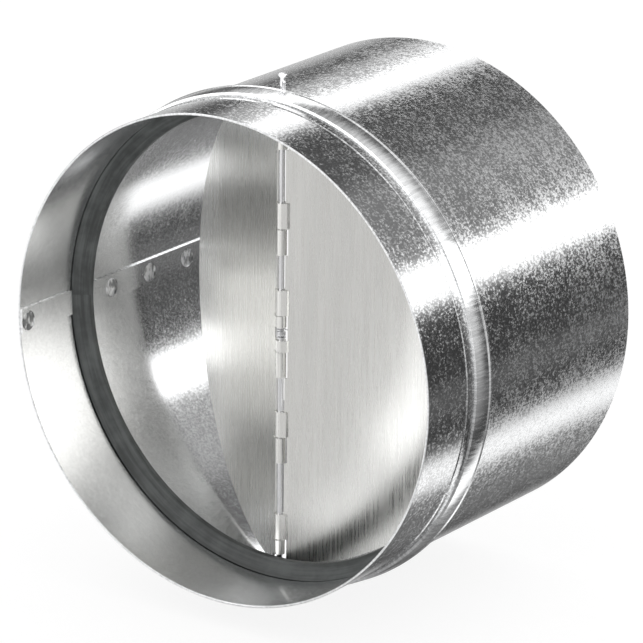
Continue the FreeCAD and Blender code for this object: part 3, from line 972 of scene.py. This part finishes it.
class DAMPER_OT_spring(bpy.types.Operator):
    """Models the torsion spring's coil and its two arms"""

    bl_idname = "damper.spring"
    bl_label = "Spring"

    def execute(self, context):
        sizes = context.scene.damper_sizes
        wire = sizes.wire_diameter
        radius = sizes.spindle_diameter / 2 + COIL_CLEARANCE + wire / 2
        pitch = wire + COIL_TURN_GAP
        height = COIL_TURNS * pitch
        steel = brushed_material("spring_wire", context.scene.damper_finishes.steel, WIRE_ROUGHNESS, WIRE_GRAIN)
        points = []
        for step in range(COIL_TURNS * COIL_STEPS + 1):
            angle = 2 * math.pi * step / COIL_STEPS
            place = (radius * math.cos(angle), radius * math.sin(angle), step * pitch / COIL_STEPS - height / 2)
            points.append(Vector(place) + Y_AXIS * SPINDLE_SETBACK + Z_AXIS * KNUCKLE_MIDDLE)
        coil = wire_piece("spring_turns", points, wire)
        smooth(coil)
        finish_piece(coil, "tube", "spring_steel", steel, "spring_coil")
        for side, name, body, node in (
            (1, "spring_arm_right", "right_flap", "spring_right_arm"),
            (-1, "spring_arm_left", "left_flap", "spring_left_arm"),
        ):
            arm = wire_piece(name, self.arm_points(sizes, radius, side * KNUCKLE_MIDDLE + height / 2), wire)
            set_on_spindle(arm, side)
            smooth(arm)
            finish_piece(arm, body, "spring_steel", steel, node)
        return {"FINISHED"}

    def arm_points(self, sizes, radius, coil_end):
        """Path of the upper arm with its end turn, as it lies behind the shut right blade."""
        wire = sizes.wire_diameter
        level = coil_end + wire + COIL_END_GAP
        front_offset = sizes.spindle_diameter / 2 + KNUCKLE_CLEARANCE + sizes.blade_thickness - KNUCKLE_STEP
        line = sizes.blade_thickness - front_offset + ARM_BLADE_GAP + wire / 2
        bend_back = line + ARM_BEND_RADIUS
        bend_out = math.sqrt((radius + ARM_BEND_RADIUS) ** 2 - bend_back ** 2)
        leave = math.atan2(bend_back, bend_out)
        front = 1.5 * math.pi
        tip_start = ARM_LENGTH - ARM_TIP_BEND
        arcs = (
            ((0, 0), radius, leave + math.radians(END_TURN_ANGLE), leave, COIL_STEPS),
            ((bend_out, bend_back), ARM_BEND_RADIUS, leave + math.pi, front, ARM_BEND_STEPS),
            ((tip_start, line + ARM_TIP_BEND), ARM_TIP_BEND, front, 2 * math.pi, ARM_TIP_STEPS),
        )
        points = []
        for (x, y), bend, start, end, steps in arcs:
            for step in range(steps + 1):
                angle = start + (end - start) * step / steps
                point = Vector((x + bend * math.cos(angle), y + bend * math.sin(angle), level))
                if not points or (point - points[-1]).length > LEAST_STEP:
                    points.append(point)
        return points


class DAMPER_OT_stage(bpy.types.Operator):
    """Sets the camera, the pale floor and the soft studio light"""

    bl_idname = "damper.stage"
    bl_label = "Stage"

    def execute(self, context):
        self.set_camera(context.scene)
        self.set_world(context.scene)
        self.set_floor()
        return {"FINISHED"}

    def set_camera(self, scene):
        """The photograph's camera, and plain colour management."""
        azimuth = math.radians(CAMERA_AZIMUTH)
        elevation = math.radians(CAMERA_ELEVATION)
        forward = Vector((
            -math.sin(azimuth) * math.cos(elevation),
            math.cos(azimuth) * math.cos(elevation),
            -math.sin(elevation),
        ))
        right = forward.cross(Z_AXIS).normalized()
        up = right.cross(forward)
        turn = Matrix.Rotation(math.radians(CAMERA_ROLL), 3, -forward)
        data = bpy.data.cameras.new("photo_camera")
        data.sensor_width = SENSOR_WIDTH
        data.lens = FOCAL_PIXELS / PHOTO_WIDTH * SENSOR_WIDTH
        data.clip_start, data.clip_end = CAMERA_CLIP
        camera = bpy.data.objects.new("photo_camera", data)
        scene.collection.objects.link(camera)
        axes = Matrix((turn @ right, turn @ up, -forward)).transposed().to_4x4()
        camera.matrix_world = Matrix.Translation(CAMERA_PLACE) @ axes
        scene.camera = camera
        scene.view_settings.view_transform = "Standard"

    def lit(self, tree, direction, lights, level):
        """A level with soft lights added, each about its own direction."""
        for name, towards, half, soft, strength in lights:
            inputs = {0: direction, 1: Vector(towards).normalized()}
            dot = tree.add("VectorMath", inputs, operation="DOT_PRODUCT", label=name).outputs["Value"]
            edge = math.cos(math.radians(half + soft))
            inner = math.cos(math.radians(half))
            level = tree.math("ADD", tree.ramp(dot, edge, inner, 0.0, strength), level)
        return level

    def across_tube(self, panels):
        """Panels with their angle about the tube's axis turned into a direction."""
        turned = []
        for name, angle, *rest in panels:
            turn = math.radians(angle)
            turned.append((name, (math.cos(turn), 0, math.sin(turn)), *rest))
        return turned

    def set_world(self, scene):
        """The panels and lights for shiny pieces, a plain level for matt ones and white for the camera."""
        scene.world = bpy.data.worlds.new("studio")
        tree = Tree(scene.world)
        tree.nodes.clear()
        direction = tree.add("TexCoord").outputs["Generated"]
        flat = tree.add("VectorMath", {0: direction, 1: (1, 0, 1)}, operation="MULTIPLY").outputs[0]
        across = tree.add("VectorMath", {0: flat}, operation="NORMALIZE").outputs[0]
        along = tree.add("SeparateXYZ", {0: direction}).outputs["Y"]
        strips = self.lit(tree, across, self.across_tube(PANELS), ROOM_LEVEL)
        glow = self.lit(tree, across, self.across_tube(CREST_GLOW), 0.0)
        strips = tree.math("MULTIPLY_ADD", glow, tree.ramp(along, CREST_GLOW_END, CREST_GLOW_FULL), strips)
        shaded = self.lit(tree, across, self.across_tube(FRONT_SHADES), FRONT_LEVEL)
        front = tree.ramp(along, FRONT_START, FRONT_FULL)
        room = tree.add("Mix", {"A": strips, "B": shaded, "Factor": front}, data_type="FLOAT").outputs["Result"]
        studio = tree.add("Background", {"Strength": self.lit(tree, direction, LIGHTS, room)})
        plain = tree.add("Background", {"Strength": DIFFUSE_LEVEL, "Color": WHITE})
        white = tree.add("Background", {"Strength": 1.0, "Color": WHITE})
        path = tree.add("LightPath")
        glossy = {"Fac": path.outputs["Is Glossy Ray"], 1: plain.outputs[0], 2: studio.outputs[0]}
        seen = {"Fac": path.outputs["Is Camera Ray"], 1: tree.add("MixShader", glossy).outputs[0],
                2: white.outputs[0]}
        tree.add("OutputWorld", {"Surface": tree.add("MixShader", seen).outputs[0]})

    def set_floor(self):
        """A pale matt floor just under the spindle's lower end."""
        deselect_all()
        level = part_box("spindle")[0].z - FLOOR_BELOW
        bpy.ops.mesh.primitive_plane_add(size=FLOOR_SIZE, location=(0, 0, level))
        floor = bpy.context.object
        floor.name = "floor"
        pale = Finish("pale_floor")
        pale.nodes.remove(pale.shader)
        cloth = pale.add("BsdfDiffuse", {"Color": FLOOR_GREY}).outputs[0]
        glow = pale.add("Emission", {"Strength": FLOOR_GLOW}).outputs[0]
        both = pale.add("AddShader", {0: cloth, 1: glow}).outputs[0]
        pale.put(both, pale.nodes["Material Output"].inputs["Surface"])
        floor.data.materials.append(pale.material)
        floor.visible_glossy = False


class DAMPER_PT_panel(bpy.types.Panel):
    """Lists the damper's operators, sizes and finishes"""

    bl_label = "Backdraft damper"
    bl_idname = "DAMPER_PT_panel"
    bl_space_type = "VIEW_3D"
    bl_region_type = "UI"
    bl_category = "Damper"

    def draw(self, context):
        layout = self.layout
        for operator in OPERATORS:
            layout.operator(operator.bl_idname)
        for group in (context.scene.damper_sizes, context.scene.damper_finishes):
            for name in group.bl_rna.properties.keys():
                if name not in ("rna_type", "name"):
                    layout.prop(group, name)


OPERATORS = (
    DAMPER_OT_housing,
    DAMPER_OT_seal,
    DAMPER_OT_spindle,
    DAMPER_OT_blades,
    DAMPER_OT_spring,
    DAMPER_OT_stage,
)
CLASSES = (DamperSizes, DamperFinishes) + OPERATORS + (DAMPER_PT_panel,)


def register():
    for kind in CLASSES:
        bpy.utils.register_class(kind)
    bpy.types.Scene.damper_sizes = PointerProperty(type=DamperSizes)
    bpy.types.Scene.damper_finishes = PointerProperty(type=DamperFinishes)


def unregister():
    del bpy.types.Scene.damper_finishes
    del bpy.types.Scene.damper_sizes
    for kind in reversed(CLASSES):
        bpy.utils.unregister_class(kind)


def main():
    register()
    for operator in OPERATORS:
        group, name = operator.bl_idname.split(".")
        getattr(getattr(bpy.ops, group), name)()


if __name__ == "__main__":
    main()
